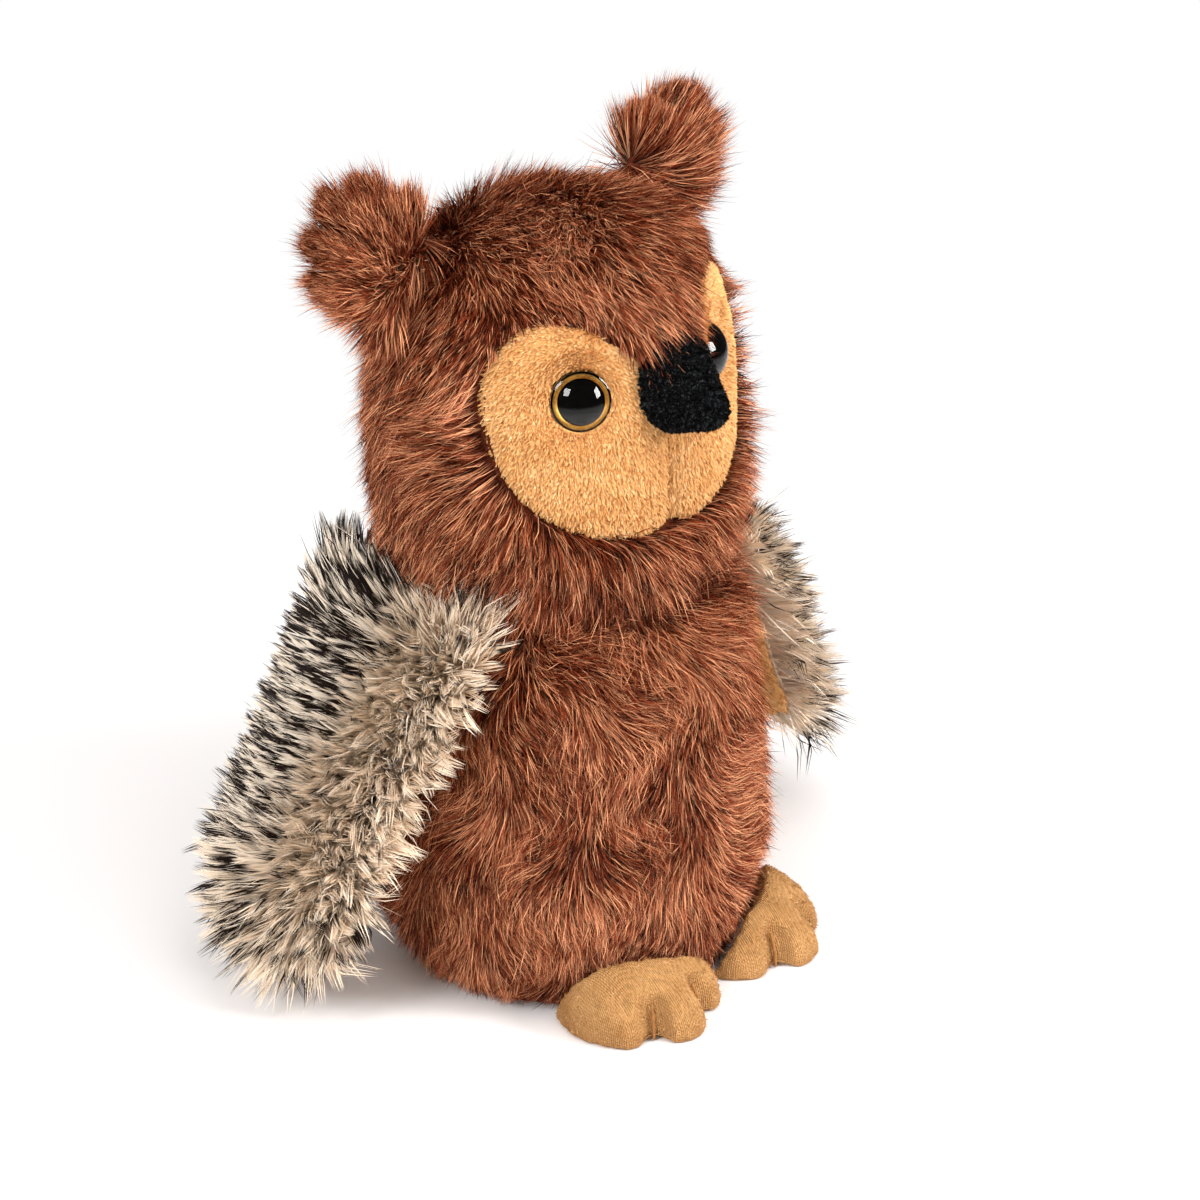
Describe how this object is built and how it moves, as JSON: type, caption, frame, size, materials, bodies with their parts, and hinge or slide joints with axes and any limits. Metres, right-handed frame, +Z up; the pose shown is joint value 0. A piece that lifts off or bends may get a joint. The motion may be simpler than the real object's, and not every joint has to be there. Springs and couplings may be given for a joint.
{
  "type": "plush owl",
  "caption": "Seated stuffed owl toy with a turning head, ear tufts, plastic eyes, fabric beak, swinging lined wings and toed feet.",
  "frame": {"origin": "middle of the flat base, on the floor", "axes": "+Z up, -Y the way the toy faces, +X the toy's own left"},
  "size_m": [0.1825, 0.1213, 0.2135],
  "materials": {
    "brown_fur": "long brown pile, brushed loose",
    "tan_velour": "short brushed tan pile",
    "barred_fur": "long cream pile with dark tips in bars",
    "tan_knit": "brushed tan knit",
    "black_fleece": "short black fleece",
    "base_cloth": "plain brown cloth",
    "filling": "loose polyester fibre",
    "bag_cloth": "plain woven cotton over plastic pellets",
    "thread": "matt sewing thread",
    "clear_lens": "clear polished dome",
    "gold_iris": "gold backing ring",
    "dark_plastic": "black polished plastic",
    "washer_plastic": "white moulded plastic"
  },
  "bodies": {
    "torso": {"body_front_panel": "brown_fur", "body_back_panel": "brown_fur", "base_panel": "base_cloth", "pellet_bag": "bag_cloth", "body_filling": "filling"},
    "head": {"right_head_panel": "brown_fur", "right_face_panel": "tan_velour", "right_eye_lens": "clear_lens", "right_eye_iris": "gold_iris", "right_eye_stem": "dark_plastic", "right_eye_washer": "washer_plastic", "left_head_panel": "brown_fur", "left_face_panel": "tan_velour", "left_eye_lens": "clear_lens", "left_eye_iris": "gold_iris", "left_eye_stem": "dark_plastic", "left_eye_washer": "washer_plastic", "head_filling": "filling", "beak_cover": "black_fleece", "beak_filling": "filling"},
    "right_wing": {"right_wing_outer": "barred_fur", "right_wing_lining": "tan_velour"},
    "right_ear": {"right_ear_front_panel": "brown_fur", "right_ear_back_panel": "brown_fur"},
    "right_foot": {"right_foot_upper": "tan_knit", "right_foot_filling": "filling", "right_foot_sole": "tan_knit", "right_foot_outer_stitch": "thread", "right_foot_inner_stitch": "thread"},
    "left_wing": {"left_wing_outer": "barred_fur", "left_wing_lining": "tan_velour"},
    "left_ear": {"left_ear_front_panel": "brown_fur", "left_ear_back_panel": "brown_fur"},
    "left_foot": {"left_foot_upper": "tan_knit", "left_foot_filling": "filling", "left_foot_sole": "tan_knit", "left_foot_outer_stitch": "thread", "left_foot_inner_stitch": "thread"}
  },
  "joints": [
    {"name": "head_turn", "type": "hinge", "parent": "torso", "child": "head", "pos_m": [0, 0, 0.109], "axis": [0, 0, 1], "range_deg": [-30, 30], "stiffness_Nm_per_rad": 0.12},
    {"name": "right_wing_swing", "type": "hinge", "parent": "torso", "child": "right_wing", "pos_m": [-0.044, 0.011, 0.1075], "axis": [0, 1, 0], "range_deg": [-6, 50], "stiffness_Nm_per_rad": 0.03, "springref_deg": 2.86},
    {"name": "left_wing_swing", "type": "hinge", "parent": "torso", "child": "left_wing", "pos_m": [0.044, 0.014, 0.1075], "axis": [0, -1, 0], "range_deg": [-6, 50], "stiffness_Nm_per_rad": 0.03, "springref_deg": 2.86},
    {"name": "right_ear_fold", "type": "hinge", "parent": "head", "child": "right_ear", "pos_m": [-0.03959, 0.00842, 0.19008], "axis": [0.6773, 0, 0.7357], "range_deg": [-25, 25], "stiffness_Nm_per_rad": 0.008},
    {"name": "left_ear_fold", "type": "hinge", "parent": "head", "child": "left_ear", "pos_m": [0.03959, 0.00842, 0.19008], "axis": [0.6773, 0, -0.7357], "range_deg": [-25, 25], "stiffness_Nm_per_rad": 0.008},
    {"name": "right_foot_lift", "type": "hinge", "parent": "torso", "child": "right_foot", "pos_m": [-0.01844, -0.04734, 0.016], "axis": [-0.9986, 0.0523, 0], "range_deg": [0, 20], "stiffness_Nm_per_rad": 0.05},
    {"name": "left_foot_lift", "type": "hinge", "parent": "torso", "child": "left_foot", "pos_m": [0.02638, -0.04341, 0.016], "axis": [-0.9744, -0.225, 0], "range_deg": [0, 20], "stiffness_Nm_per_rad": 0.05}
  ]
}
